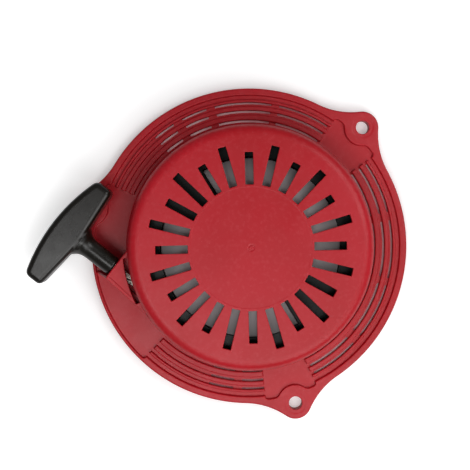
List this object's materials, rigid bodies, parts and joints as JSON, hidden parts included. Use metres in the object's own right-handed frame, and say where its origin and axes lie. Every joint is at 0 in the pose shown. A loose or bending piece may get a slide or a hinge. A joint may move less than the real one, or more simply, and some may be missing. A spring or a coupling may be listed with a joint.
{
  "type": "recoil starter",
  "caption": "Dome-type recoil starter: slotted red housing on a louvred mounting flange, rope reel with ratchet pawls inside, and a black T-grip on the rope.",
  "frame": {"origin": "on the reel's axis, at the plane where the rim and ears meet the engine", "axes": "+Z along the reel's axis, away from the engine to the top of the dome; the rope pulls out at 142 degrees from +X towards +Y"},
  "size_m": [0.224, 0.1995, 0.04],
  "materials": {
    "red_plastic": "semi-gloss moulded plastic",
    "black_plastic": "glossy moulded plastic",
    "grip_plastic": "satin moulded plastic",
    "rope": "braided cord with dark flecks",
    "steel": "plain steel",
    "pawl_steel": "sintered steel",
    "spring_steel": "blued spring steel",
    "zinc_plate": "zinc-plated steel",
    "brass": "machined brass"
  },
  "bodies": {
    "frame": {"housing": "red_plastic", "threaded_insert": "brass", "rope_guide": "steel", "mainspring": "spring_steel", "rope_run": "rope", "friction_spring": "spring_steel", "thrust_washer": "steel", "setting_screw": "zinc_plate"},
    "rotor": {"reel": "black_plastic", "rope_coil": "rope", "reel_knot": "rope"},
    "guide": {"ratchet_guide": "zinc_plate"},
    "pawl_a": {"pawl_1": "pawl_steel", "pawl_spring_1": "spring_steel"},
    "pawl_b": {"pawl_2": "pawl_steel", "pawl_spring_2": "spring_steel"},
    "grip": {"grip_handle": "grip_plastic", "grip_reinforcement": "zinc_plate", "grip_knot": "rope"}
  },
  "joints": [
    {"name": "reel_spin", "type": "hinge", "parent": "frame", "child": "rotor", "pos_m": [0, 0, 0.02], "axis": [0, 0, 1], "range_deg": [-810, 0]},
    {"name": "grip_pull", "type": "slide", "parent": "frame", "child": "grip", "axis": [-0.788, 0.6157, 0], "range_m": [0, 0.8272]},
    {"name": "guide_turn", "type": "hinge", "parent": "rotor", "child": "guide", "pos_m": [0, 0, 0.009], "axis": [0, 0, 1], "range_deg": [0, 28]},
    {"name": "pawl_1_swing", "type": "hinge", "parent": "rotor", "child": "pawl_a", "pos_m": [0.01973, 0.00718, 0.0133], "axis": [0, 0, 1], "range_deg": [0, 28.1]},
    {"name": "pawl_2_swing", "type": "hinge", "parent": "rotor", "child": "pawl_b", "pos_m": [-0.01973, -0.00718, 0.0133], "axis": [0, 0, 1], "range_deg": [0, 28.1]}
  ],
  "couplings": [
    {"joint": "grip_pull", "follows": "reel_spin", "m_per_rad": -0.0585},
    {"joint": "pawl_1_swing", "follows": "guide_turn", "ratio": 1},
    {"joint": "pawl_2_swing", "follows": "guide_turn", "ratio": 1}
  ]
}
